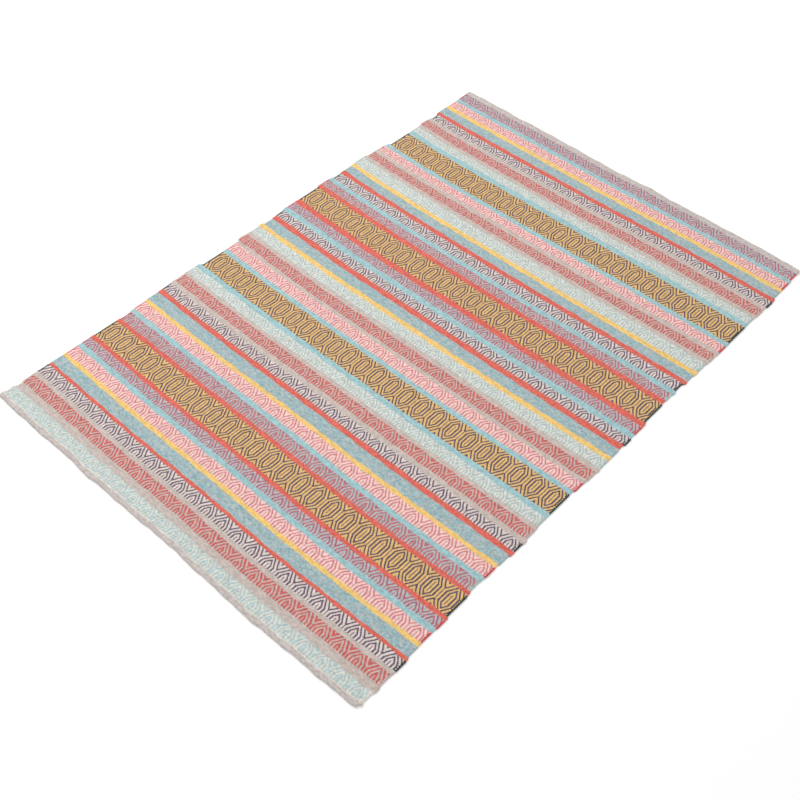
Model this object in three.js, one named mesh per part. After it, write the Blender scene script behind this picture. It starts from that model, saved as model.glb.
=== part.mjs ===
// A flat-woven wool rug lying flat, in millimetres, with +X across it, +Y along it and +Z up.
// It is one cloth: each end is turned under once and pressed, so the hems lie thicker than the field.
import * as THREE from "three";

// Driving dimensions
const WIDTH = 1200; // from selvedge to selvedge
const LENGTH = 1800; // from hem to hem
const FIELD_THICKNESS = 5; // one layer of the weave
const HEM_THICKNESS = 8; // two layers of the weave, pressed together
const HEM_WIDTH = 18; // how much of each end is turned under
const HEM_SLOPE = 5; // the step down from the hem to the field
const CORNER_RADIUS = 14;
const RIM_ROUND = 2.5; // how far in from the outline the flat faces start
const STATION_ACROSS = 100; // spacing of the columns of points
const STATION_ALONG = 50; // spacing of the rows of points

// How far each selvedge lies outside its straight line, by distance from the near end.
const SELVEDGE_WANDER = [
  { along: 0, left: -2, right: 4 },
  { along: 100, left: -1, right: 6 },
  { along: 200, left: -1, right: 2 },
  { along: 300, left: -2, right: 0 },
  { along: 400, left: -5, right: -5 },
  { along: 500, left: 1, right: -2 },
  { along: 600, left: 5, right: -2 },
  { along: 700, left: -1, right: -4 },
  { along: 800, left: -2, right: 0 },
  { along: 900, left: 4, right: 1 },
  { along: 1000, left: 6, right: 2 },
  { along: 1100, left: 6, right: -4 },
  { along: 1200, left: 4, right: -6 },
  { along: 1300, left: 5, right: 0 },
  { along: 1400, left: 1, right: 4 },
  { along: 1500, left: -8, right: 2 },
  { along: 1600, left: -8, right: 5 },
  { along: 1700, left: -4, right: 0 },
  { along: 1800, left: -5, right: -3 },
];

// How far each end lies outside its straight line, by distance from the left selvedge.
const END_WANDER = [
  { across: 0, near: -2, far: -1 },
  { across: 100, near: -1, far: 1 },
  { across: 200, near: 0, far: -1 },
  { across: 300, near: 0, far: 1 },
  { across: 400, near: 1, far: 1 },
  { across: 500, near: 1, far: -3 },
  { across: 600, near: -2, far: -4 },
  { across: 700, near: 1, far: 3 },
  { across: 800, near: 1, far: -1 },
  { across: 900, near: 3, far: 1 },
  { across: 1000, near: -1, far: 1 },
  { across: 1100, near: -3, far: 0 },
  { across: 1200, near: -6, far: -3 },
];

// The value of one side of a table at a distance, easing from row to row.
function wander(table, distanceColumn, side, distance) {
  const after = Math.max(1, table.findIndex((row) => row[distanceColumn] >= distance));
  const from = table[after - 1];
  const to = table[after];
  const share = THREE.MathUtils.smoothstep(distance, from[distanceColumn], to[distanceColumn]);
  return THREE.MathUtils.lerp(from[side], to[side], share);
}

// How far a rounded corner draws the selvedge in, by distance from the nearer end.
function cornerInset(fromEnd) {
  const intoCorner = Math.max(0, CORNER_RADIUS - fromEnd);
  return CORNER_RADIUS - Math.sqrt(CORNER_RADIUS ** 2 - intoCorner ** 2);
}

// The place of a point of the straight weave once the cloth lies unevenly.
function layOnFloor(across, along) {
  const selvedge = across < 0 ? "left" : "right";
  const end = along < 0 ? "near" : "far";
  const selvedgeOut = wander(SELVEDGE_WANDER, "along", selvedge, along + LENGTH / 2);
  const endOut = wander(END_WANDER, "across", end, across + WIDTH / 2);
  const inset = cornerInset(LENGTH / 2 - Math.abs(along));
  const x = across * (1 + (selvedgeOut - inset) / (WIDTH / 2));
  const y = along * (1 + endOut / (LENGTH / 2));
  return { x, y };
}

// The thickness of the cloth, which steps down from each hem to the field.
function thicknessAt(along) {
  const fromEnd = LENGTH / 2 - Math.abs(along);
  const share = THREE.MathUtils.smoothstep(fromEnd, HEM_WIDTH, HEM_WIDTH + HEM_SLOPE);
  return THREE.MathUtils.lerp(HEM_THICKNESS, FIELD_THICKNESS, share);
}

// Evenly spaced stations from edge to edge, with closer ones at the given insets from both edges.
function stations(size, spacing, insets) {
  const half = size / 2;
  const deepest = insets[insets.length - 1];
  const even = [];
  for (let place = -half + spacing; place < half; place += spacing) {
    if (Math.abs(place) < half - deepest) {
      even.push(place);
    }
  }
  const left = insets.map((inset) => inset - half);
  const right = insets.map((inset) => half - inset).reverse();
  return [...left, ...even, ...right];
}

// The closed skin of the rug: a top and an underside that meet along the rim at half thickness.
function rugGeometry() {
  const columns = stations(WIDTH, STATION_ACROSS, [0, RIM_ROUND]);
  const hemInsets = [0, RIM_ROUND, CORNER_RADIUS / 2, CORNER_RADIUS, HEM_WIDTH, HEM_WIDTH + HEM_SLOPE];
  const rows = stations(LENGTH, STATION_ALONG, hemInsets);
  const lastColumn = columns.length - 1;
  const lastRow = rows.length - 1;
  const positions = [];
  const triangles = [];

  const addPoint = (across, along, height) => {
    const { x, y } = layOnFloor(across, along);
    positions.push(x, y, height);
    return positions.length / 3 - 1;
  };
  const onRim = (column, row) =>
    column === 0 || row === 0 || column === lastColumn || row === lastRow;
  const top = columns.map((across, column) =>
    rows.map((along, row) => addPoint(across, along, thicknessAt(along) * (onRim(column, row) ? 0.5 : 1))),
  );
  const under = columns.map((across, column) =>
    rows.map((along, row) => (onRim(column, row) ? top[column][row] : addPoint(across, along, 0))),
  );

  for (let column = 0; column < lastColumn; column += 1) {
    for (let row = 0; row < lastRow; row += 1) {
      const corners = (skin) => [
        skin[column][row],
        skin[column + 1][row],
        skin[column + 1][row + 1],
        skin[column][row + 1],
      ];
      const [a, b, c, d] = corners(top);
      const [e, f, g, h] = corners(under);
      triangles.push(a, b, c, a, c, d);
      triangles.push(e, g, f, e, h, g);
    }
  }

  const geometry = new THREE.BufferGeometry();
  geometry.setAttribute("position", new THREE.Float32BufferAttribute(positions, 3));
  geometry.setIndex(triangles);
  geometry.computeVertexNormals();
  return geometry;
}

const wool = new THREE.MeshStandardMaterial({ color: 0xb98f86, roughness: 0.95, metalness: 0 });
const rug = new THREE.Mesh(rugGeometry(), wool);
rug.name = "rug";

const part = new THREE.Group();
part.add(rug);

export default part;
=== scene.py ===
"""A flat-woven wool rug lying flat: cross stripes and bands of nested hexagons, built bead by bead."""
import math
from collections import namedtuple

import bpy
import numpy as np
from mathutils import Matrix, Vector


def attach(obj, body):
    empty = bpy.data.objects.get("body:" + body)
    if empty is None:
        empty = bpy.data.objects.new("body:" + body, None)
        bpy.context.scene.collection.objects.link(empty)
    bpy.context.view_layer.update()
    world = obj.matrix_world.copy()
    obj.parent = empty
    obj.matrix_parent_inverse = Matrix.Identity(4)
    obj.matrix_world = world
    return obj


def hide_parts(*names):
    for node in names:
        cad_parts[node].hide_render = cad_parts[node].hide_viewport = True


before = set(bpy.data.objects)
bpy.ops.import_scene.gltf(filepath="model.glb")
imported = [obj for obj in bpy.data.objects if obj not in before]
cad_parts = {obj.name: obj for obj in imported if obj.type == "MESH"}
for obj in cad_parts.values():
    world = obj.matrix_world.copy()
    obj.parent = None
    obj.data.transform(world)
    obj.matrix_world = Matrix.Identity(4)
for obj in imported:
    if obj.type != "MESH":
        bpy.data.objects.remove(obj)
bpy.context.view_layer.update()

MM = 0.001

# The cloth, in metres
WIDTH = 1.2
LENGTH = 1.8
FIELD_THICKNESS = 0.005
HEM_THICKNESS = 0.008
HEM_WIDTH = 0.018
HEM_SLOPE = 0.005
CORNER_RADIUS = 0.008

# The weave: rows of weft beads laid like bricks
BEADS_ACROSS = 240
ROWS = 600
SIDE_BEADS = 2  # beads beyond each side that wrap under it
WRAP_ROWS = 4  # rows beyond each end that wrap under it
SELVEDGE_BEADS = 1  # beads of the face that take the selvedge yarn
BEAD_WIDTH = WIDTH / BEADS_ACROSS
BEAD_LENGTH = LENGTH / ROWS
BEAD_RISE = 0.8 * MM
BEAD_SCATTER = 0.16 * MM
FLOOR_GAP = 1.0 * MM
WELD = 0.05 * MM  # points closer than this are one point
VALLEY = 0.1 * MM  # the weave is creased below this height
PANEL_ROWS = 38
PANEL_FOLDS = 3  # strips that a panel is folded into on its texture map
SEED = 7

# A small unevenness of each point, from numbers with no common measure
SCATTER_CELL = 0.2 * MM
SCATTER_WAVES = np.array([(12.9898, 39.346, 73.156), (78.233, 11.135, 52.235), (37.719, 83.155, 9.151)])
SCATTER_STRETCH = 43758.5453

# The underside, a thin sheet below the face
BACK_LIFT = 0.25 * MM
BACK_INSET = 5.0 * MM  # how far it stays in from the sides and ends
BACK_THICKNESS = 2.0 * MM
BACK_CREASE = 30  # half the width of the narrowest crease that it follows, in mm
BACK_STEP_ROWS = 4
BACK_COLUMNS = 49

# The nested hexagons: widths are counted in columns, and lengths along the rug from a hexagon's centre
REPEAT = 50 * MM
REPEAT_COLUMNS = 12
HALF_REPEAT = REPEAT_COLUMNS // 2
COLUMN = REPEAT / REPEAT_COLUMNS
STRAIGHT_SIDE = 15 * MM  # half the length of a hexagon's straight sides
DIAGONAL = 6.5 * MM  # length of a hexagon's diagonal for each column that it crosses
FORK = 17.6 * MM  # where the line between two hexagons forks around the next one
FORK_DIAGONAL = 6.6 * MM  # length of the fork's arms for each column that they cross
PICK = BEAD_LENGTH / 3  # one pass of weft, the finest step of the figure along the rug
STEPS = 4  # steps of the figure across each column
HEXAGON_LINES = ((1.5, 2.5), (3.5, 4.5))  # from and to, in columns out from a hexagon's centre
FORK_LINES = ((-0.5, 0.5), (2.1, 3.1))  # from and to, in columns inside the fork
HALF_SLIT = 0.25  # half the width of the lines in a hexagon's middle and between two, in columns

# The look of the wool: shares are parts of a yarn's way from dark to light
MOTTLE = 0.14  # how much lighter or darker the dye can be
MOTTLE_PATCH = (9 * MM, 6 * MM, 6 * MM)
MOTTLE_NOISE = (0.3, 0.7)  # the noise of the darkest and of the lightest patches
STREAK = 3.0  # length of a streak along the yarn, in columns
FLECK = 0.5  # length of a fleck, in columns
PICK_APART = 7.31  # how far one pick's noise lies from the next one's
FLECK_NOISE = (0.44, 0.56)  # the noise where a fleck begins and where it is full
FLECK_BY_BEAD = 0.25
FIBRE_SCALE = 1100.0
TONE_SHARE = 0.35
FIBRE_SHARE = 0.3
# painted shade: how much darker the colour is made in the grooves between picks, where less light falls
GROOVE_PAINTED_SHADE = 0.3
DARK_PLACE = 0.15
MIDDLE_PLACE = 0.55
LIGHT_PLACE = 0.95
DARK_TINT = (60, 50, 48)
DARK_SHARE = 0.2
LIGHT_TINT = (255, 252, 246)
LIGHT_SHARE = 0.16
PLY = 1.4 * MM  # one turn of the yarn's twist
PLY_RELIEF = 0.25
BUMP_STRENGTH = 0.5
BUMP_DEPTH = 0.3 * MM
WOOL_ROUGHNESS = 0.95
WOOL_SPECULAR = 0.15
SHEEN = 0.12
SHEEN_ROUGHNESS = 0.5

# The studio and the camera, in metres from the middle of the rug
FLOOR_REACH = 6.0
FLOOR_COLOUR = (0.97, 0.97, 0.97, 1)
FLOOR_ROUGHNESS = 0.9
FLOOR_GLOW = 0.12
WHITE = (1, 1, 1, 1)
SKY_STRENGTH = 0.67
KEY_PLACE = (-1.7, -0.1, 3.5)
KEY_SIZE = 2.4
KEY_POWER = 69
CAMERA_PLACE = Vector((1.321, -1.691, 2.197))
CAMERA_TARGET = Vector((0.072, -0.259, 0))
CAMERA_ROLL = math.radians(2.25)
CAMERA_LENS = 52.98
SENSOR_WIDTH = 36
SHIFT_RIGHT = 0.0295
SHIFT_UP = -0.0012

# Yarns: main shade, fleck shade, and how much of the yarn the flecks take
Yarn = namedtuple("Yarn", "shade fleck flecks")
YARNS = {
    "ash": Yarn((206, 196, 191), (187, 177, 173), 0.35),
    "taupe": Yarn((207, 193, 185), (186, 172, 165), 0.35),
    "cream": Yarn((230, 223, 212), (210, 201, 190), 0.3),
    "pale aqua": Yarn((224, 225, 219), (210, 212, 206), 0.35),
    "grey aqua": Yarn((180, 199, 194), (190, 202, 198), 0.35),
    "brick": Yarn((206, 96, 93), (204, 122, 116), 0.35),
    "rose taupe": Yarn((203, 185, 177), (196, 170, 162), 0.35),
    "oatmeal": Yarn((229, 215, 205), (211, 195, 187), 0.35),
    "navy": Yarn((96, 82, 110), (126, 108, 126), 0.3),
    "red": Yarn((224, 101, 87), (231, 119, 102), 0.35),
    "heather blue": Yarn((135, 182, 191), (201, 195, 190), 0.8),
    "yellow": Yarn((248, 207, 121), (244, 192, 112), 0.35),
    "shell pink": Yarn((248, 214, 203), (240, 194, 186), 0.3),
    "rose": Yarn((219, 127, 141), (226, 152, 156), 0.3),
    "aqua": Yarn((156, 199, 205), (177, 206, 207), 0.4),
    "slate": Yarn((176, 188, 188), (190, 182, 182), 0.35),
    "magenta": Yarn((188, 92, 116), (182, 120, 138), 0.35),
    "mulberry": Yarn((195, 107, 121), (190, 130, 140), 0.35),
    "mist": Yarn((178, 206, 208), (194, 211, 209), 0.35),
    "fog": Yarn((174, 191, 188), (184, 192, 188), 0.35),
    "ink": Yarn((84, 70, 98), (112, 95, 112), 0.3),
    "mustard": Yarn((234, 190, 116), (222, 179, 113), 0.35),
    "bottle": Yarn((34, 52, 48), (58, 70, 64), 0.3),
    "scarlet": Yarn((206, 66, 66), (216, 92, 86), 0.3),
}

# Stripes: the yarn of the ground, of the figure if there is one, and of the left and right selvedge
Stripe = namedtuple("Stripe", "ground figure left right")
STRIPES = {
    "hem": Stripe("ash", None, "ash", "ash"),
    "cream": Stripe("cream", None, "taupe", "taupe"),
    "taupe": Stripe("taupe", None, "taupe", "taupe"),
    "red": Stripe("red", None, "red", "red"),
    "blue": Stripe("heather blue", None, "heather blue", "heather blue"),
    "yellow": Stripe("yellow", None, "yellow", "yellow"),
    "aqua": Stripe("aqua", None, "aqua", "aqua"),
    "aqua arches": Stripe("pale aqua", "grey aqua", "grey aqua", "grey aqua"),
    "pale arches": Stripe("mist", "cream", "cream", "cream"),
    "red arches": Stripe("brick", "rose taupe", "rose taupe", "rose taupe"),
    "navy arches": Stripe("oatmeal", "navy", "bottle", "bottle"),
    "pink arches": Stripe("shell pink", "rose", "rose", "scarlet"),
    "magenta arches": Stripe("slate", "magenta", "magenta", "scarlet"),
    "mulberry arches": Stripe("mulberry", "fog", "mulberry", "grey aqua"),
    "hexagons": Stripe("mustard", "ink", "bottle", "bottle"),
}

# Bands from the near end: stripe, rows of weft, how far past a hexagon's centre it starts, in mm,
# and how far its left and right ends lie outside the rug's straight sides, in mm
Band = namedtuple("Band", "stripe rows past_centre left right")
BANDS = [
    Band("hem", 4, 0, -1, 2),
    Band("cream", 1, 0, 0, 8),
    Band("pale arches", 11, -1, -2, 5),
    Band("taupe", 7, 0, -8, 8),
    Band("red arches", 11, 4, -4, 5),
    Band("taupe", 4, 0, -3, 6),
    Band("navy arches", 11, 4, -4, 7),
    Band("red", 3, 0, -4, 6),
    Band("blue", 11, 0, -4, 2),
    Band("yellow", 4, 0, -4, 2),
    Band("pink arches", 11, 0, -5, 1),
    Band("aqua", 5, 0, -5, 1),
    Band("magenta arches", 9, 7, -5, 3),
    Band("red", 4, 0, -4, 3),
    Band("hexagons", 24, -35, -6, -1),
    Band("red", 4, 0, -6, -3),
    Band("mulberry arches", 11, 1, -8, -6),
    Band("aqua", 5, 0, -4, -5),
    Band("pink arches", 12, 0, -3, -3),
    Band("yellow", 4, 0, -2, -4),
    Band("blue", 12, 0, -1, -2),
    Band("red", 5, 0, 0, 2),
    Band("navy arches", 10, 4, 0, 1),
    Band("taupe", 5, 0, 3, 3),
    Band("red arches", 11, 2, 2, -1),
    Band("taupe", 4, 0, 4, -2),
    Band("aqua arches", 10, 6, 3, -4),
    Band("aqua", 5, 0, 3, -4),
    Band("hexagons", 25, -39, -6, -4),
    Band("aqua", 5, 0, -5, -5),
    Band("pink arches", 12, -2, -6, -1),
    Band("taupe", 4, 0, -7, 0),
    Band("red arches", 12, 2, 0, 2),
    Band("taupe", 5, 0, 1, 4),
    Band("aqua arches", 11, 3, 0, 2),
    Band("yellow", 5, 0, 3, 2),
    Band("blue", 11, 0, -3, 2),
    Band("red", 6, 0, -1, 0),
    Band("navy arches", 10, 3, 0, 4),
    Band("aqua", 6, 0, 5, 1),
    Band("magenta arches", 10, 4, 4, 2),
    Band("red", 6, 0, 4, 2),
    Band("hexagons", 26, -39, 3, -3),
    Band("red", 5, 0, 7, -6),
    Band("mulberry arches", 10, 5, 7, -4),
    Band("aqua", 5, 0, 6, -2),
    Band("navy arches", 11, 3, 0, -6),
    Band("red", 5, 0, 3, 0),
    Band("blue", 10, 0, 3, -2),
    Band("yellow", 5, 0, 4, 1),
    Band("aqua arches", 13, -4, 6, 0),
    Band("taupe", 5, 0, 6, 2),
    Band("red arches", 10, 3, 1, 3),
    Band("taupe", 5, 0, 1, 4),
    Band("pink arches", 10, 3, -1, 4),
    Band("aqua", 5, 0, -4, 4),
    Band("hexagons", 27, -37, -12, 3),
    Band("aqua", 6, 0, -12, 2),
    Band("aqua arches", 9, 5, -12, 2),
    Band("taupe", 5, 0, -12, 3),
    Band("red arches", 11, 1, -8, 5),
    Band("taupe", 5, 0, -10, 4),
    Band("navy arches", 10, 5, -15, 7),
    Band("red", 5, 0, -8, 6),
    Band("blue", 11, 0, -7, 1),
    Band("yellow", 5, 0, -7, 1),
    Band("pink arches", 11, 1, -9, 1),
    Band("aqua", 5, 0, -8, 1),
    Band("magenta arches", 12, 5, -7, -2),
    Band("hem", 7, 0, -7, -1),
]
BAND_SIZES = np.array([band.rows for band in BANDS]) * BEAD_LENGTH
BAND_STARTS = np.cumsum(BAND_SIZES) - BAND_SIZES
BAND_SHOULDERS = np.minimum(0.4 * BAND_SIZES, 4 * MM)  # how much of a band's end eases into the next one
BAND_ENDS = BAND_STARTS + BAND_SIZES
SIDE_PLACES = np.stack([BAND_STARTS + BAND_SHOULDERS, BAND_ENDS - BAND_SHOULDERS], axis=1).ravel()
LEFT_OUT = np.repeat([band.left for band in BANDS], 2) * MM
RIGHT_OUT = np.repeat([band.right for band in BANDS], 2) * MM

# How far each end lies outside its straight line, in mm: distance from the left selvedge, near, far
END_WANDER = np.array([
    (0, -4, -4),
    (60, -3, -3),
    (160, -2, -3),
    (200, -2, -5),
    (260, -4, -2),
    (340, 0.5, -3),
    (420, -2, -4),
    (500, -2, -6),
    (580, -4, -7.5),
    (640, -5.5, -5),
    (700, -2, -1),
    (780, -1.5, -4.5),
    (880, 1.5, -3),
    (960, -0.5, -3),
    (1020, -3.5, -2.5),
    (1100, -4.5, -3.5),
    (1200, -8, -7),
]) * MM
END_REACH = 0.08  # how far into the rug the wander of its ends is felt

# Drifts of the weave, in mm, at distances along (rows) and across (columns)
Drift = namedtuple("Drift", "across along shift")
BOW = Drift(  # how far the stripes bow towards the far end
    np.array((0, 120, 300, 600, 780, 900, 1200)) * MM,
    np.array((0, 100, 250, 400, 550, 700, 850, 1000, 1150, 1300, 1450, 1600, 1700, 1800)) * MM,
    np.array([
        (0, 0, 0, 0, 0, 0, 0),
        (4.5, 3, 0, 1, -3, -1, 9.5),
        (7.5, 4.5, 1, 1, -2, -1.5, 7),
        (7, 5.5, 3, 2.5, -1.5, -1, 4),
        (7.5, 3, -1, -0.5, -2, -1, 3),
        (9.5, 5, 1, 1, 0, 0, 6.5),
        (5, 1, -4.5, -4, -3.5, -2.5, 2),
        (4, 0, -6.5, -5.5, -5.5, -3, 0.5),
        (3.5, -1, -5.5, -6.5, -5, -2, 2),
        (5, -3, -5.5, -5.5, -3.5, -1.5, 2),
        (2.5, -5, -6, -4.5, -2, 0.5, 1.5),
        (0.5, -5, -5.5, -5, -0.5, 1.5, -1),
        (-2, -4.5, -4, -5, -1.5, 0.5, -2.5),
        (0, 0, 0, 0, 0, 0, 0),
    ]) * MM,
)
SWAY = Drift(  # how far the figure lies to the right
    np.array((0, 300, 600, 900, 1200)) * MM,
    np.array((0, 900, 1300, 1500, 1800)) * MM,
    np.array([
        (6, 6, 0, 0, 0),
        (6, 6, -1, 0, 0),
        (8, 8, 2, 2, 2),
        (9, 9, 4, 3, 3),
        (9, 9, 6, 5, 5),
    ]) * MM,
)

# Small wobbles of the stripes: wave across, wave along and height
Wobble = namedtuple("Wobble", "across along height")
WOBBLES = [
    Wobble(93 * MM, 37 * MM, 0.8 * MM),
    Wobble(46 * MM, -29 * MM, 0.5 * MM),
]

# Puckers of the cloth, in mm: centre across and along from the near left corner, half sizes, height
Pucker = namedtuple("Pucker", "across along half_across half_along height")
PUCKERS = [
    Pucker(60, 808, 110, 22, 5.0),
    Pucker(60, 790, 110, 26, 4.0),
    Pucker(22, 789, 13, 4.2, -5.5),
    Pucker(78, 789, 12, 4.2, -5.5),
    Pucker(123, 789, 12, 4.2, -4.0),
    Pucker(60, 1560, 80, 22, 4.0),
    Pucker(62, 1545, 20, 4.5, -2.0),
    Pucker(1170, 420, 70, 30, 1.5),
]


def linear(shade):
    """A display colour, 0 to 255 a channel, as the linear colour that a shader takes."""
    channels = [value / 255 for value in shade]
    bent = [c / 12.92 if c <= 0.04045 else ((c + 0.055) / 1.055) ** 2.4 for c in channels]
    return (*bent, 1.0)


def mixed(first, second, share):
    """A shade part of the way from the first to the second."""
    return tuple(a + (b - a) * share for a, b in zip(first, second))


class Nodes:
    """Short calls that add nodes to a tree and link them."""

    def __init__(self, tree):
        self.tree = tree

    def add(self, kind, inputs=None, **settings):
        node = self.tree.nodes.new(kind)
        for name, value in settings.items():
            setattr(node, name, value)
        for socket, value in (inputs or {}).items():
            self.feed(node.inputs[socket], value)
        return node

    def feed(self, socket, value):
        if isinstance(value, bpy.types.NodeSocket):
            self.tree.links.new(value, socket)
        else:
            socket.default_value = value

    def math(self, operation, first, second=0.0):
        node = self.add("ShaderNodeMath", {0: first, 1: second}, operation=operation)
        return node.outputs[0]

    def either(self, first, second):
        return self.math("MAXIMUM", first, second)

    def both(self, first, second):
        return self.math("MULTIPLY", first, second)


# Materials


def between(nodes, value, low, high):
    """1 where a value lies from low to high, and 0 elsewhere."""
    return nodes.both(nodes.math("GREATER_THAN", value, low), nodes.math("LESS_THAN", value, high))


Grid = namedtuple("Grid", "columns along step pick")


def weave_grid(nodes):
    """The place of a point in the weave: columns and way along, and the number of its step and pick."""
    chart = nodes.add("ShaderNodeAttribute", attribute_name="chart").outputs["Vector"]
    axes = nodes.add("ShaderNodeSeparateXYZ", {0: chart}).outputs
    step = nodes.math("FLOOR", nodes.math("MULTIPLY", axes["X"], STEPS))
    pick = nodes.math("FLOOR", nodes.math("DIVIDE", axes["Y"], PICK))
    return Grid(axes["X"], axes["Y"], step, pick)


def hexagon_figure(nodes, grid):
    """Where the figure yarn shows: 1 on the lines of the nested hexagons and 0 between them."""
    column = nodes.math("DIVIDE", nodes.math("ADD", grid.step, 0.5), STEPS)
    along = nodes.math("ABSOLUTE", nodes.math("MULTIPLY", nodes.math("ADD", grid.pick, 0.5), PICK))

    in_repeat = nodes.math("FLOORED_MODULO", nodes.math("ADD", column, HALF_REPEAT), REPEAT_COLUMNS)
    from_centre = nodes.math("ABSOLUTE", nodes.math("SUBTRACT", in_repeat, HALF_REPEAT))
    from_side = nodes.math("SUBTRACT", HALF_REPEAT, from_centre)
    past_side = nodes.math("MAXIMUM", nodes.math("SUBTRACT", along, STRAIGHT_SIDE), 0.0)
    ring = nodes.math("ADD", from_centre, nodes.math("DIVIDE", past_side, DIAGONAL))
    past_fork = nodes.math("DIVIDE", nodes.math("SUBTRACT", along, FORK), FORK_DIAGONAL)
    inside_fork = nodes.math("SUBTRACT", past_fork, from_side)

    slit = nodes.math("LESS_THAN", ring, HALF_SLIT)
    stem = nodes.both(nodes.math("LESS_THAN", from_side, HALF_SLIT), nodes.math("LESS_THAN", along, FORK))
    figure = nodes.either(slit, stem)
    for low, high in HEXAGON_LINES:
        figure = nodes.either(figure, between(nodes, ring, low, high))
    for low, high in FORK_LINES:
        figure = nodes.either(figure, between(nodes, inside_fork, low, high))
    return figure


def along_yarn(nodes, grid, spot):
    """Noise that runs along each pick by itself, in spots of so many columns."""
    across = nodes.math("DIVIDE", grid.columns, spot)
    apart = nodes.math("MULTIPLY", grid.pick, PICK_APART)
    place = nodes.add("ShaderNodeCombineXYZ", {"X": across, "Y": apart}).outputs[0]
    return nodes.add("ShaderNodeTexNoise", {"Vector": place, "Scale": 1.0, "Detail": 2.0}).outputs[0]


def yarn_colour(nodes, yarn, uneven, flecked):
    """The colour of heathered yarn: a shade that varies from dark to light, with flecks of another; its dark
    end also takes the painted shade of the grooves between picks.
    """
    ramp = nodes.add("ShaderNodeValToRGB", {"Fac": uneven})
    dark, light = ramp.color_ramp.elements
    dark.position = DARK_PLACE
    dark.color = linear(mixed(yarn.shade, DARK_TINT, DARK_SHARE))
    light.position = LIGHT_PLACE
    light.color = linear(mixed(yarn.shade, LIGHT_TINT, LIGHT_SHARE))
    middle = ramp.color_ramp.elements.new(MIDDLE_PLACE)
    middle.color = linear(yarn.shade)
    fleck_share = nodes.math("MULTIPLY", flecked, yarn.flecks)
    return mixed_colour(nodes, fleck_share, ramp.outputs[0], linear(yarn.fleck))


def mixed_colour(nodes, share, first, second, blend="MIX"):
    mix = nodes.add("ShaderNodeMix", data_type="RGBA", blend_type=blend)
    nodes.feed(mix.inputs["Factor"], share)
    nodes.feed(mix.inputs[6], first)
    nodes.feed(mix.inputs[7], second)
    return mix.outputs[2]


def mottle(nodes, place):
    """Light and dark patches of the uneven dye, a little longer across the rug than along it."""
    patch = {0: place, 1: MOTTLE_PATCH}
    patches = nodes.add("ShaderNodeVectorMath", patch, operation="DIVIDE").outputs[0]
    noise = nodes.add("ShaderNodeTexNoise", {"Vector": patches, "Scale": 1.0, "Detail": 1.0}).outputs[0]
    low, high = MOTTLE_NOISE
    spread = {"Value": noise, "From Min": low, "From Max": high, "To Min": 1 - MOTTLE, "To Max": 1 + MOTTLE}
    return nodes.add("ShaderNodeMapRange", spread).outputs[0]


def wool_material(ground, figure=None):
    """Woven wool: a tone for each bead, streaks and flecks along each pick, twisted plies and fibres, and
    painted shade that darkens the grooves between picks.
    """
    name = f"wool_{figure}_on_{ground}" if figure else f"wool_{ground}"
    material = bpy.data.materials.new(name.replace(" ", "_"))
    material.use_nodes = True
    tree = material.node_tree
    tree.nodes.clear()
    nodes = Nodes(tree)
    grid = weave_grid(nodes)
    place = nodes.add("ShaderNodeTexCoord").outputs["Object"]
    fine = {"Vector": place, "Scale": FIBRE_SCALE, "Detail": 2.0}
    fibres = nodes.add("ShaderNodeTexNoise", fine).outputs[0]
    tone = nodes.add("ShaderNodeAttribute", attribute_name="tone").outputs["Fac"]

    into_pick = nodes.math("SUBTRACT", nodes.math("DIVIDE", grid.along, PICK), grid.pick)
    from_middle = nodes.math("MULTIPLY", nodes.math("SUBTRACT", into_pick, 0.5), 2.0)
    groove = nodes.math("MULTIPLY", from_middle, from_middle)
    slant = nodes.math("ADD", nodes.math("MULTIPLY", grid.columns, COLUMN / PLY), into_pick)
    ply = nodes.math("SINE", nodes.math("MULTIPLY", slant, 2 * math.pi))

    spread = nodes.math("ADD", nodes.math("MULTIPLY", tone, TONE_SHARE), along_yarn(nodes, grid, STREAK))
    soft = nodes.math("ADD", spread, nodes.math("MULTIPLY", fibres, FIBRE_SHARE))
    # painted shade: the grooves between picks are made darker in the colour, standing in for the shade that
    # falls in them; the bump below also shapes them
    uneven = nodes.math("SUBTRACT", soft, nodes.math("MULTIPLY", groove, GROOVE_PAINTED_SHADE))
    bead_flecks = nodes.math("MULTIPLY", nodes.math("SUBTRACT", tone, 0.5), FLECK_BY_BEAD)
    flecks = nodes.math("ADD", along_yarn(nodes, grid, FLECK), bead_flecks)
    low, high = FLECK_NOISE
    edges = {"Value": flecks, "From Min": low, "From Max": high}
    flecked = nodes.add("ShaderNodeMapRange", edges).outputs[0]

    colour = yarn_colour(nodes, YARNS[ground], uneven, flecked)
    if figure:
        figure_colour = yarn_colour(nodes, YARNS[figure], uneven, flecked)
        colour = mixed_colour(nodes, hexagon_figure(nodes, grid), colour, figure_colour)
    colour = mixed_colour(nodes, 1.0, colour, mottle(nodes, place), "MULTIPLY")

    plies = nodes.math("SUBTRACT", nodes.math("MULTIPLY", ply, PLY_RELIEF), groove)
    relief = nodes.math("ADD", plies, fibres)
    raised = {"Height": relief, "Strength": BUMP_STRENGTH, "Distance": BUMP_DEPTH}
    bump = nodes.add("ShaderNodeBump", raised).outputs[0]
    wool = nodes.add("ShaderNodeBsdfPrincipled", {"Base Color": colour, "Normal": bump})
    wool.inputs["Roughness"].default_value = WOOL_ROUGHNESS
    wool.inputs["Specular IOR Level"].default_value = WOOL_SPECULAR
    wool.inputs["Sheen Weight"].default_value = SHEEN
    wool.inputs["Sheen Roughness"].default_value = SHEEN_ROUGHNESS
    nodes.add("ShaderNodeOutputMaterial", {"Surface": wool.outputs[0]})
    return material


# The weave


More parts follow.
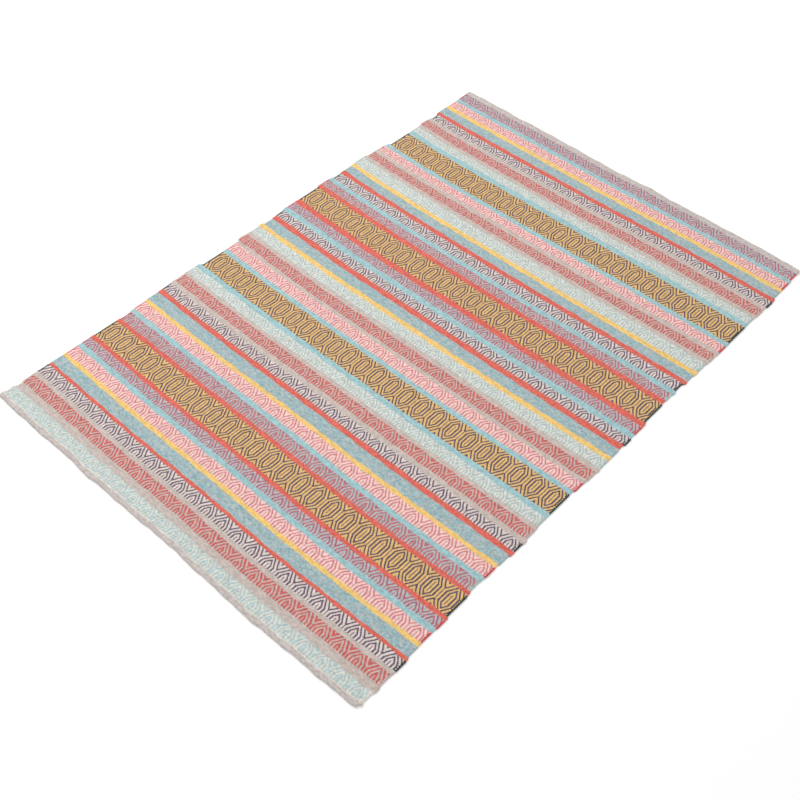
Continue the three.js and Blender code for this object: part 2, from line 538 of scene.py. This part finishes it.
def bead_mesh(nodes):
    """A six-sided bead of one unit, with its middle raised."""
    circle = nodes.add("GeometryNodeMeshCircle", {"Vertices": 6, "Radius": 1.0}, fill_type="TRIANGLE_FAN")
    position = nodes.add("GeometryNodeInputPosition").outputs[0]
    length = nodes.add("ShaderNodeVectorMath", {0: position}, operation="LENGTH").outputs["Value"]
    middle = nodes.add("FunctionNodeCompare", {0: length, 1: 0.5}, operation="LESS_THAN").outputs[0]
    raised = nodes.add(
        "GeometryNodeSetPosition",
        {"Geometry": circle.outputs[0], "Selection": middle, "Offset": (0, 0, 1)},
    )
    return raised.outputs[0]


def store(nodes, geometry, name, value, domain):
    """Keep a number for each point or face of a geometry under a name."""
    node = nodes.add(
        "GeometryNodeStoreNamedAttribute",
        {"Geometry": geometry, "Name": name, "Value": value},
        data_type="FLOAT",
        domain=domain,
    )
    return node.outputs[0]


def stored(nodes, name):
    return nodes.add("GeometryNodeInputNamedAttribute", {"Name": name}, data_type="FLOAT").outputs[0]


def above(nodes, value, limit):
    return nodes.add("FunctionNodeCompare", {0: value, 1: limit}, operation="GREATER_THAN").outputs[0]


def store_chart(nodes, band, given):
    """Keep each corner's place in the figure: columns from a centre line, and the way past the centre."""
    position = nodes.add("GeometryNodeInputPosition").outputs[0]
    axes = nodes.add("ShaderNodeSeparateXYZ", {0: position}).outputs
    from_first_centre = nodes.math("ADD", axes["X"], (WIDTH - REPEAT) / 2)
    columns = nodes.math("DIVIDE", from_first_centre, COLUMN)
    band_start = nodes.math("MULTIPLY", given["First Row"], given["Bead Length"])
    into_band = nodes.math("SUBTRACT", axes["Y"], band_start)
    past_centre = nodes.math("ADD", into_band, given["Past Centre"])
    chart = nodes.add("ShaderNodeCombineXYZ", {"X": columns, "Y": past_centre}).outputs[0]
    node = nodes.add(
        "GeometryNodeStoreNamedAttribute",
        {"Geometry": band, "Name": "chart", "Value": chart},
        data_type="FLOAT_VECTOR",
        domain="CORNER",
    )
    return node.outputs[0]


BAND_INPUTS = {
    "Cloth": "Geometry",
    "Beads": "Int",
    "Rows": "Int",
    "First Row": "Int",
    "Bead Width": "Float",
    "Bead Length": "Float",
    "Bead Rise": "Float",
    "Past Centre": "Float",
    "Seed": "Int",
    "Stripe": "Material",
    "Left Selvedge": "Material",
    "Right Selvedge": "Material",
}


def bead_points(nodes, given):
    """A point for each bead of a band, every other row shifted by half a bead, with its tone and side."""
    index = nodes.add("GeometryNodeInputIndex").outputs[0]
    bead = nodes.math("FLOORED_MODULO", index, given["Beads"])
    row = nodes.math("FLOOR", nodes.math("DIVIDE", nodes.math("ADD", index, 0.5), given["Beads"]))
    row_of_rug = nodes.math("ADD", row, given["First Row"])
    odd_row = nodes.math("FLOORED_MODULO", row_of_rug, 2.0)
    shift = nodes.math("MULTIPLY", nodes.math("SUBTRACT", odd_row, 0.5), 0.5)
    middle_bead = nodes.math("MULTIPLY", nodes.math("SUBTRACT", given["Beads"], 1.0), 0.5)
    beads_across = nodes.math("ADD", nodes.math("SUBTRACT", bead, middle_bead), shift)
    across = nodes.math("MULTIPLY", beads_across, given["Bead Width"])
    along = nodes.math("MULTIPLY", nodes.math("ADD", row_of_rug, 0.5), given["Bead Length"])
    place = nodes.add("ShaderNodeCombineXYZ", {"X": across, "Y": along}).outputs[0]
    count = nodes.math("MULTIPLY", given["Beads"], given["Rows"])
    points = nodes.add("GeometryNodePoints", {"Count": count, "Position": place}).outputs[0]

    side_beads = SIDE_BEADS + SELVEDGE_BEADS - 0.5
    at_left = nodes.math("LESS_THAN", bead, side_beads)
    at_right = nodes.math("GREATER_THAN", bead, nodes.math("SUBTRACT", given["Beads"], side_beads + 1))
    tone = nodes.add("FunctionNodeRandomValue", {"Seed": given["Seed"]}, data_type="FLOAT").outputs[1]
    points = store(nodes, points, "left_selvedge", at_left, "POINT")
    points = store(nodes, points, "right_selvedge", at_right, "POINT")
    return store(nodes, points, "bead_tone", tone, "POINT")


def beads_on_points(nodes, points, given):
    """A band of real beads, each as long and wide as its share of the weave."""
    long = nodes.math("MULTIPLY", given["Bead Length"], 2 / 3)
    wide = nodes.math("DIVIDE", given["Bead Width"], math.sqrt(3))
    size = nodes.add("ShaderNodeCombineXYZ", {"X": long, "Y": wide, "Z": given["Bead Rise"]}).outputs[0]
    beads = nodes.add(
        "GeometryNodeInstanceOnPoints",
        {"Points": points, "Instance": bead_mesh(nodes), "Rotation": (0, 0, math.pi / 2), "Scale": size},
    )
    band = nodes.add("GeometryNodeRealizeInstances", {"Geometry": beads.outputs[0]}).outputs[0]
    return store(nodes, band, "tone", stored(nodes, "bead_tone"), "FACE")


def dyed(nodes, band, given):
    """The band with the wool of its stripe, and at its ends that of its selvedges."""
    stripe = {"Geometry": band, "Material": given["Stripe"]}
    band = nodes.add("GeometryNodeSetMaterial", stripe).outputs[0]
    for side in ("Left Selvedge", "Right Selvedge"):
        at_side = above(nodes, stored(nodes, side.lower().replace(" ", "_")), 0.5)
        recoloured = {"Geometry": band, "Selection": at_side, "Material": given[side]}
        band = nodes.add("GeometryNodeSetMaterial", recoloured).outputs[0]
    for scratch in ("left_selvedge", "right_selvedge", "bead_tone"):
        band = nodes.add("GeometryNodeRemoveAttribute", {"Geometry": band, "Name": scratch}).outputs[0]
    return band


def creased(nodes, cloth):
    """The cloth with smooth beads and sharp valleys between them."""
    smooth = nodes.add("GeometryNodeSetShadeSmooth", {"Geometry": cloth, "Shade Smooth": True}).outputs[0]
    position = nodes.add("GeometryNodeInputPosition").outputs[0]
    height = nodes.add("ShaderNodeSeparateXYZ", {0: position}).outputs["Z"]
    valley = nodes.add("FunctionNodeCompare", {0: height, 1: VALLEY}, operation="LESS_THAN").outputs[0]
    sharp = {"Geometry": smooth, "Selection": valley, "Shade Smooth": False}
    return nodes.add("GeometryNodeSetShadeSmooth", sharp, domain="EDGE").outputs[0]


def weft_band_tree():
    """Geometry nodes that add one band of weft beads to the cloth woven so far."""
    tree = bpy.data.node_groups.new("weft band", "GeometryNodeTree")
    sockets = {}
    for name, kind in BAND_INPUTS.items():
        socket = tree.interface.new_socket(name, in_out="INPUT", socket_type=f"NodeSocket{kind}")
        sockets[name] = socket.identifier
    tree.interface.new_socket("Cloth", in_out="OUTPUT", socket_type="NodeSocketGeometry")

    nodes = Nodes(tree)
    given = nodes.add("NodeGroupInput").outputs
    band = beads_on_points(nodes, bead_points(nodes, given), given)
    band = dyed(nodes, store_chart(nodes, band, given), given)
    joined = nodes.add("GeometryNodeJoinGeometry")
    tree.links.new(given["Cloth"], joined.inputs[0])
    tree.links.new(band, joined.inputs[0])
    edges = {"Geometry": joined.outputs[0], "Distance": WELD}
    welded = nodes.add("GeometryNodeMergeByDistance", edges).outputs[0]
    nodes.add("NodeGroupOutput", {0: creased(nodes, welded)})
    return tree, sockets


def woven_panel(name, bands, first_row, tree, sockets, wools):
    """A mesh of neighbouring bands, woven straight: across and along in the plane, relief in height."""
    blank = bpy.data.objects.new(name, bpy.data.meshes.new(name))
    bpy.context.scene.collection.objects.link(blank)
    for band in bands:
        stripe = STRIPES[band.stripe]
        values = {
            "Beads": BEADS_ACROSS + 2 * SIDE_BEADS,
            "Rows": band.rows,
            "First Row": first_row,
            "Bead Width": BEAD_WIDTH,
            "Bead Length": BEAD_LENGTH,
            "Bead Rise": BEAD_RISE,
            "Past Centre": band.past_centre * MM,
            "Seed": SEED + first_row,
            "Stripe": wools[band.stripe],
            "Left Selvedge": wools[stripe.left],
            "Right Selvedge": wools[stripe.right],
        }
        weave = blank.modifiers.new(band.stripe, "NODES")
        weave.node_group = tree
        for socket, value in values.items():
            weave[sockets[socket]] = value
        first_row += band.rows
    evaluated = blank.evaluated_get(bpy.context.evaluated_depsgraph_get())
    mesh = bpy.data.meshes.new_from_object(evaluated)
    blank.modifiers.clear()
    blank.data = mesh
    return blank


# How the cloth lies


def eased(places, knots, values):
    """Values of a table at the given places, easing from row to row."""
    places = np.clip(places, knots[0], knots[-1])
    after = np.clip(np.searchsorted(knots, places), 1, len(knots) - 1)
    share = (places - knots[after - 1]) / (knots[after] - knots[after - 1])
    share = share * share * (3 - 2 * share)
    return values[after - 1] * (1 - share) + values[after] * share


def drifted(drift, from_left, from_near):
    """How far a drift shifts the weave at given places, eased along the rug and straight across it."""
    columns = np.stack([eased(from_near, drift.along, column) for column in drift.shift.T])
    after = np.clip(np.searchsorted(drift.across, from_left), 1, len(drift.across) - 1)
    share = (from_left - drift.across[after - 1]) / (drift.across[after] - drift.across[after - 1])
    points = np.arange(len(from_left))
    return columns[after - 1, points] * (1 - share) + columns[after, points] * share


def from_corner(across, along):
    """Distances from the near left corner, kept within the rug."""
    return np.clip(across + WIDTH / 2, 0, WIDTH), np.clip(along + LENGTH / 2, 0, LENGTH)


def plan_place(across, along):
    """Where a point of the straight weave comes to lie on the floor."""
    from_left, from_near = from_corner(across, along)
    left_out = eased(from_near, SIDE_PLACES, LEFT_OUT)
    right_out = eased(from_near, SIDE_PLACES, RIGHT_OUT)
    near_out = eased(from_left, END_WANDER[:, 0], END_WANDER[:, 1])
    far_out = eased(from_left, END_WANDER[:, 0], END_WANDER[:, 2])
    from_end = np.clip(LENGTH / 2 - np.abs(along), 0, None)
    into_corner = np.clip(CORNER_RADIUS - from_end, 0, CORNER_RADIUS)
    inset = CORNER_RADIUS - np.sqrt(CORNER_RADIUS**2 - into_corner**2)
    side_out = np.where(across < 0, left_out, right_out) - inset
    near_end = eased(from_end, np.array((0, END_REACH)), np.array((1, 0)))
    end_out = np.where(along < 0, -near_out, far_out) * near_end
    x = across * (1 + side_out / (WIDTH / 2))
    y = along + end_out + drifted(BOW, from_left, from_near)
    for wobble in WOBBLES:
        y += wobble.height * np.sin(2 * math.pi * (from_left / wobble.across + from_near / wobble.along))
    return x, y


def pucker_height(across, along, narrowest_crease=0):
    """How far the cloth lifts off the floor where it puckers, with its creases at least so wide."""
    height = np.zeros_like(across)
    for pucker in PUCKERS:
        least = narrowest_crease if pucker.height < 0 else 0
        over = (across + WIDTH / 2 - pucker.across * MM) / (max(pucker.half_across, least) * MM)
        up = (along + LENGTH / 2 - pucker.along * MM) / (max(pucker.half_along, least) * MM)
        height += pucker.height * MM * np.exp(-2 * (over**2 + up**2))
    return np.maximum(height, 0)


def cloth_thickness(along):
    """The thickness of the cloth, which steps down from each hem to the field."""
    share = np.clip((LENGTH / 2 - np.abs(along) - HEM_WIDTH) / HEM_SLOPE, 0, 1)
    share = share * share * (3 - 2 * share)
    return HEM_THICKNESS + (FIELD_THICKNESS - HEM_THICKNESS) * share


def scatter(points):
    """A small steady unevenness for each point, the same wherever panels meet."""
    waves = np.round(points / SCATTER_CELL) @ SCATTER_WAVES
    share = np.sin(waves) * SCATTER_STRETCH
    return (share - np.floor(share) - 0.5) * 2 * BEAD_SCATTER


def lay_on_floor(woven):
    """Places on the floor of points of the straight weave, wrapped under at the sides and ends."""
    loose = woven + scatter(woven)
    across, along, lift = loose.T
    radius = (cloth_thickness(along) - BEAD_RISE - FLOOR_GAP) / 2
    flat_across = WIDTH / 2 - radius - BEAD_RISE
    flat_along = LENGTH / 2 - radius - BEAD_RISE
    over_side = np.maximum(np.abs(across) - flat_across, 0)
    over_end = np.maximum(np.abs(along) - flat_along, 0)
    over = np.hypot(over_side, over_end)
    turn = np.minimum(over / radius, math.pi)
    out = (radius + lift) * np.sin(turn) - np.maximum(over - math.pi * radius, 0)
    share = out / np.maximum(over, 1e-9)
    flat_x = np.clip(across, -flat_across, flat_across) + np.sign(across) * over_side * share
    flat_y = np.clip(along, -flat_along, flat_along) + np.sign(along) * over_end * share
    x, y = plan_place(flat_x, flat_y)
    z = FLOOR_GAP + radius + (radius + lift) * np.cos(turn) + pucker_height(flat_x, flat_y)
    return np.stack([x, y, z], axis=1)


def mesh_points(mesh):
    points = np.empty(len(mesh.vertices) * 3)
    mesh.vertices.foreach_get("co", points)
    return points.reshape(-1, 3)


def corner_points(mesh, woven):
    """The place in the straight weave of each corner of each triangle."""
    faces = np.empty(len(mesh.polygons) * 3, dtype=np.int64)
    mesh.polygons.foreach_get("vertices", faces)
    return woven[faces].reshape(-1, 3, 3)


def sway_figure(mesh, corners):
    """Let the figure drift across the rug as its columns do."""
    chart = mesh.attributes["chart"].data
    places = np.empty(len(chart) * 3)
    chart.foreach_get("vector", places)
    places = places.reshape(-1, 3)
    flat = corners.reshape(-1, 3)
    places[:, 0] -= drifted(SWAY, *from_corner(flat[:, 0], flat[:, 1])) / COLUMN
    chart.foreach_set("vector", places.ravel())


def unfold(mesh, woven, corners):
    """A texture map of a long panel, folded into a few strips one above the other."""
    low = woven.min(axis=0)
    size = woven.max(axis=0) - low
    strip = size[0] / PANEL_FOLDS
    fold = np.minimum((corners[:, :, 0].mean(axis=1) - low[0]) // strip, PANEL_FOLDS - 1)
    overlap = 2 * BEAD_WIDTH
    u = (corners[:, :, 0] - low[0] - fold[:, None] * strip + overlap) / (strip + 2 * overlap)
    v = (corners[:, :, 1] - low[1] + overlap) / (size[1] + 2 * overlap)
    v = (v + fold[:, None]) / PANEL_FOLDS
    layer = mesh.uv_layers.new(name="OFBake")
    layer.data.foreach_set("uv", np.stack([u, v], axis=2).ravel())


def weave_face(wools):
    """The face of the rug in panels of a few bands each."""
    tree, sockets = weft_band_tree()
    bands = list(BANDS)
    bands[0] = bands[0]._replace(rows=bands[0].rows + WRAP_ROWS)
    bands[-1] = bands[-1]._replace(rows=bands[-1].rows + WRAP_ROWS)
    panels = []
    group = []
    first_row = -ROWS // 2 - WRAP_ROWS
    for number, band in enumerate(bands):
        group.append(band)
        rows = sum(member.rows for member in group)
        if rows < PANEL_ROWS and number < len(bands) - 1:
            continue
        panel = woven_panel(f"face_{len(panels) + 1:02d}", group, first_row, tree, sockets, wools)
        woven = mesh_points(panel.data)
        corners = corner_points(panel.data, woven)
        sway_figure(panel.data, corners)
        unfold(panel.data, woven, corners)
        panel.data.vertices.foreach_set("co", lay_on_floor(woven).ravel())
        panel.data.update()
        panels.append(panel)
        first_row += rows
        group = []
    return panels


BackRow = namedtuple("BackRow", "band start way")
Face = namedtuple("Face", "corners stripe centre")


def back_rows():
    """Rows of points along the underside: the band, where it starts, and the row's own way along."""
    rows = []
    first_row = -ROWS // 2
    for band in BANDS:
        steps = 1 + band.rows // BACK_STEP_ROWS
        start = first_row * BEAD_LENGTH
        size = band.rows * BEAD_LENGTH
        rows.extend(BackRow(band, start, start + size * step / steps) for step in range(steps))
        first_row += band.rows
    return rows


def back_grid(rows):
    """The points of the underside in the straight weave, row by row: ways across and ways along."""
    across = np.linspace(-WIDTH / 2 + BACK_INSET, WIDTH / 2 - BACK_INSET, BACK_COLUMNS)
    along = np.array([row.way for row in rows] + [LENGTH / 2])
    along[[0, -1]] += BACK_INSET, -BACK_INSET
    return [part.ravel() for part in np.meshgrid(across, along)]


def rim_points(rows):
    """The points around the edge of a grid of so many rows, in order."""
    last = BACK_COLUMNS - 1
    rim = list(range(BACK_COLUMNS))
    rim += [i * BACK_COLUMNS + last for i in range(1, rows)]
    rim += [(rows - 1) * BACK_COLUMNS + j for j in range(last - 1, -1, -1)]
    rim += [i * BACK_COLUMNS for i in range(rows - 2, 0, -1)]
    return rim


def back_faces(rows, count):
    """The faces of the closed sheet, below, above and around its rim, whose upper points follow the lower."""
    faces = []
    for i, row in enumerate(rows):
        centre = row.start - row.band.past_centre * MM
        for j in range(BACK_COLUMNS - 1):
            a = i * BACK_COLUMNS + j
            b = a + BACK_COLUMNS
            upper = (count + a, count + a + 1, count + b + 1, count + b)
            faces.append(Face((a, b, b + 1, a + 1), row.band.stripe, centre))
            faces.append(Face(upper, row.band.stripe, centre))
    rim = rim_points(len(rows) + 1)
    for a, b in zip(rim, rim[1:] + rim[:1]):
        faces.append(Face((a, b, count + b, count + a), "hem", 0))
    return faces


def weave_back(wools):
    """The underside of the cloth: a thin closed sheet under the face, with ground and figure exchanged."""
    rows = back_rows()
    grid_x, grid_y = back_grid(rows)
    count = len(grid_x)
    x, y = plan_place(grid_x, grid_y)
    lift = pucker_height(grid_x, grid_y, BACK_CREASE) + BACK_LIFT
    under = np.stack([x, y, lift], axis=1)
    over = np.stack([x, y, lift + BACK_THICKNESS], axis=1)
    faces = back_faces(rows, count)

    mesh = bpy.data.meshes.new("rug_cloth")
    mesh.from_pydata(np.concatenate([under, over]).tolist(), [], [face.corners for face in faces])
    stripes = sorted({band.stripe for band in BANDS})
    for stripe in stripes:
        mesh.materials.append(wools[stripe])
    mesh.polygons.foreach_set("material_index", [stripes.index(face.stripe) for face in faces])

    sway = drifted(SWAY, *from_corner(grid_x, grid_y))
    columns = (grid_x - sway + (WIDTH - REPEAT) / 2) / COLUMN
    points = np.array([face.corners for face in faces]).ravel() % count
    centres = np.repeat([face.centre for face in faces], 4)
    places = np.stack([columns[points], grid_y[points] - centres, np.zeros(len(points))], axis=1)
    chart = mesh.attributes.new("chart", "FLOAT_VECTOR", "CORNER")
    chart.data.foreach_set("vector", places.ravel())
    mesh.update()
    cloth = bpy.data.objects.new("rug_cloth", mesh)
    bpy.context.scene.collection.objects.link(cloth)
    return cloth


# The picture


def pale_floor():
    mesh = bpy.data.meshes.new("floor")
    reach = FLOOR_REACH
    corners = [(-reach, -reach, 0), (reach, -reach, 0), (reach, reach, 0), (-reach, reach, 0)]
    mesh.from_pydata(corners, [], [(0, 1, 2, 3)])
    floor = bpy.data.objects.new("floor", mesh)
    bpy.context.scene.collection.objects.link(floor)
    material = bpy.data.materials.new("pale_floor")
    material.use_nodes = True
    shader = material.node_tree.nodes["Principled BSDF"]
    shader.inputs["Base Color"].default_value = FLOOR_COLOUR
    shader.inputs["Roughness"].default_value = FLOOR_ROUGHNESS
    shader.inputs["Specular IOR Level"].default_value = 0.0
    shader.inputs["Emission Color"].default_value = WHITE
    shader.inputs["Emission Strength"].default_value = FLOOR_GLOW
    mesh.materials.append(material)


def soft_box(name, place, size, power):
    """A square lamp that faces the middle of the rug."""
    light = bpy.data.lights.new(name, "AREA")
    light.energy = power
    light.size = size
    lamp = bpy.data.objects.new(name, light)
    lamp.location = place
    lamp.rotation_euler = (-Vector(place)).to_track_quat("-Z", "Y").to_euler()
    bpy.context.scene.collection.objects.link(lamp)


def studio():
    pale_floor()
    world = bpy.data.worlds.new("studio")
    world.use_nodes = True
    sky = world.node_tree.nodes["Background"]
    sky.inputs["Color"].default_value = WHITE
    sky.inputs["Strength"].default_value = SKY_STRENGTH
    bpy.context.scene.world = world
    soft_box("key", KEY_PLACE, KEY_SIZE, KEY_POWER)
    bpy.context.scene.view_settings.view_transform = "Standard"


def photo_camera():
    """The camera of the photo, rolled a little about the line it looks along."""
    forward = (CAMERA_TARGET - CAMERA_PLACE).normalized()
    right = forward.cross(Vector((0, 0, 1))).normalized()
    up = right.cross(forward)
    tilted_right = math.cos(CAMERA_ROLL) * right + math.sin(CAMERA_ROLL) * up
    tilted_up = math.cos(CAMERA_ROLL) * up - math.sin(CAMERA_ROLL) * right
    turn = Matrix((tilted_right, tilted_up, -forward)).transposed()
    data = bpy.data.cameras.new("photo_camera")
    data.lens = CAMERA_LENS
    data.sensor_width = SENSOR_WIDTH
    data.shift_x = SHIFT_RIGHT
    data.shift_y = SHIFT_UP
    camera = bpy.data.objects.new("photo_camera", data)
    camera.matrix_world = Matrix.Translation(CAMERA_PLACE) @ turn.to_4x4()
    bpy.context.scene.collection.objects.link(camera)
    bpy.context.scene.camera = camera


plain_wools = {yarn: wool_material(yarn) for yarn in YARNS}
face_wools = {}
back_wools = {}
for name, stripe in STRIPES.items():
    face_wools[name] = back_wools[name] = plain_wools[stripe.ground]
    if stripe.figure:
        face_wools[name] = wool_material(stripe.ground, stripe.figure)
        back_wools[name] = wool_material(stripe.figure, stripe.ground)
panels = weave_face({**plain_wools, **face_wools})
cloth = weave_back(back_wools)
for piece in [cloth, *panels]:
    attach(piece, "root")
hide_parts("rug")
studio()
photo_camera()
